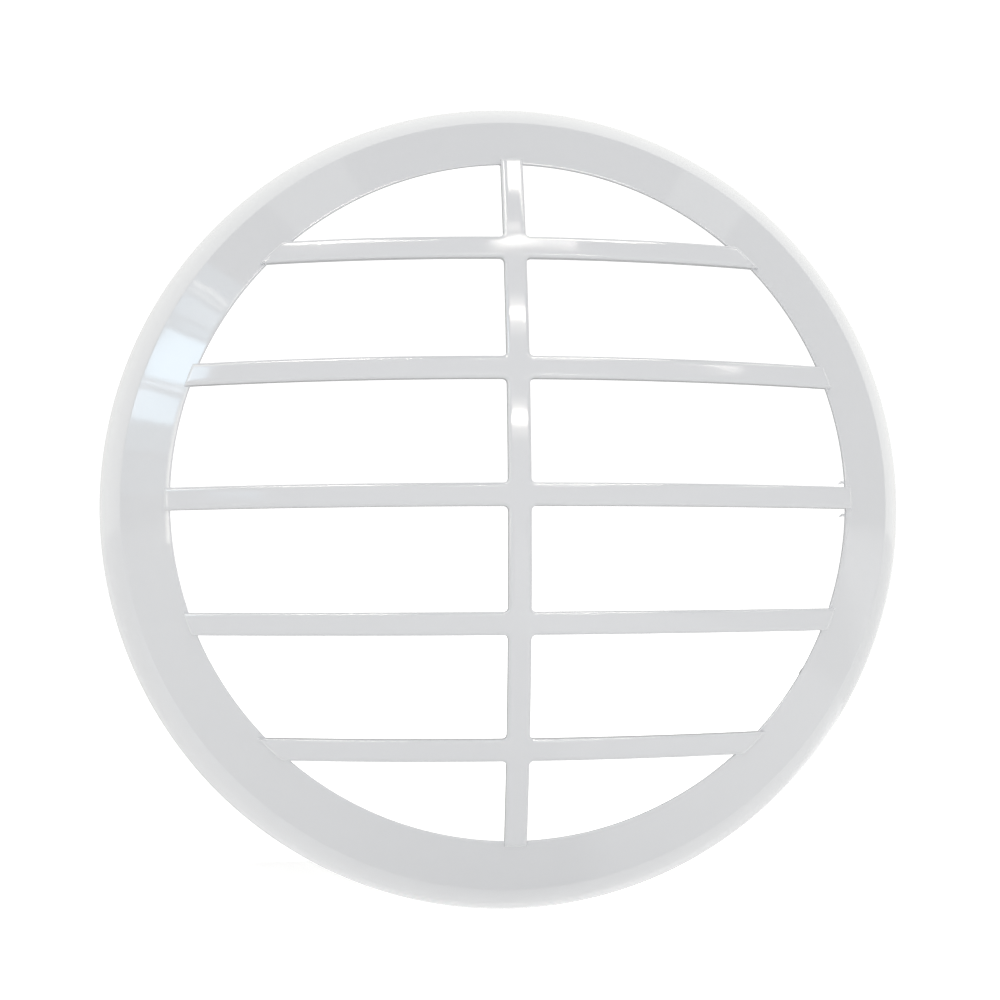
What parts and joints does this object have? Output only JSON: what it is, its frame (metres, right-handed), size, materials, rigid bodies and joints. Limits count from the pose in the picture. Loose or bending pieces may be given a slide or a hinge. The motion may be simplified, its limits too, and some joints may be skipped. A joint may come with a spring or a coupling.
{
  "type": "extractor fan grille",
  "caption": "Round domed front grille of a bathroom extractor fan: sloping ring, level bars and one upright bar, held in its opening by sprung wire legs.",
  "frame": {"origin": "centre of the grille, in the plane of the wall or ceiling that its foam seal presses on", "axes": "-Y out of the wall towards the room, +Y into the wall, +X along the level bars, +Z along the upright bar"},
  "size_m": [0.29, 0.0629, 0.29],
  "materials": {
    "white_plastic": "polished moulding",
    "zinc_steel": "bright zinc plating",
    "spring_steel": "drawn wire",
    "white_foam": "closed-cell foam"
  },
  "bodies": {
    "grille": {"grille_moulding": "white_plastic", "foam_seal": "white_foam", "spring_bracket_1": "zinc_steel", "spring_pin_1": "spring_steel", "bracket_screw_1a": "zinc_steel", "bracket_screw_1b": "zinc_steel", "spring_bracket_2": "zinc_steel", "spring_pin_2": "spring_steel", "bracket_screw_2a": "zinc_steel", "bracket_screw_2b": "zinc_steel", "spring_bracket_3": "zinc_steel", "spring_pin_3": "spring_steel", "bracket_screw_3a": "zinc_steel", "bracket_screw_3b": "zinc_steel"},
    "leg_1_left": {"spring_1_left": "spring_steel"},
    "leg_1_right": {"spring_1_right": "spring_steel"},
    "leg_2_left": {"spring_2_left": "spring_steel"},
    "leg_2_right": {"spring_2_right": "spring_steel"},
    "leg_3_left": {"spring_3_left": "spring_steel"},
    "leg_3_right": {"spring_3_right": "spring_steel"}
  },
  "joints": [
    {"name": "leg_1_left_swing", "type": "hinge", "parent": "grille", "child": "leg_1_left", "pos_m": [0, -0.0096, 0.1289], "axis": [0, 0, -1], "range_deg": [0, 78], "stiffness_Nm_per_rad": 0.04},
    {"name": "leg_1_right_swing", "type": "hinge", "parent": "grille", "child": "leg_1_right", "pos_m": [0, -0.0096, 0.1289], "axis": [0, 0, 1], "range_deg": [0, 78], "stiffness_Nm_per_rad": 0.04},
    {"name": "leg_2_left_swing", "type": "hinge", "parent": "grille", "child": "leg_2_left", "pos_m": [-0.11163, -0.0096, -0.06445], "axis": [0.866, 0, 0.5], "range_deg": [0, 78], "stiffness_Nm_per_rad": 0.04},
    {"name": "leg_2_right_swing", "type": "hinge", "parent": "grille", "child": "leg_2_right", "pos_m": [-0.11163, -0.0096, -0.06445], "axis": [-0.866, 0, -0.5], "range_deg": [0, 78], "stiffness_Nm_per_rad": 0.04},
    {"name": "leg_3_left_swing", "type": "hinge", "parent": "grille", "child": "leg_3_left", "pos_m": [0.11163, -0.0096, -0.06445], "axis": [-0.866, 0, 0.5], "range_deg": [0, 78], "stiffness_Nm_per_rad": 0.04},
    {"name": "leg_3_right_swing", "type": "hinge", "parent": "grille", "child": "leg_3_right", "pos_m": [0.11163, -0.0096, -0.06445], "axis": [0.866, 0, -0.5], "range_deg": [0, 78], "stiffness_Nm_per_rad": 0.04}
  ],
  "couplings": [
    {"joint": "leg_1_right_swing", "follows": "leg_1_left_swing", "ratio": 1},
    {"joint": "leg_2_right_swing", "follows": "leg_2_left_swing", "ratio": 1},
    {"joint": "leg_3_right_swing", "follows": "leg_3_left_swing", "ratio": 1}
  ]
}
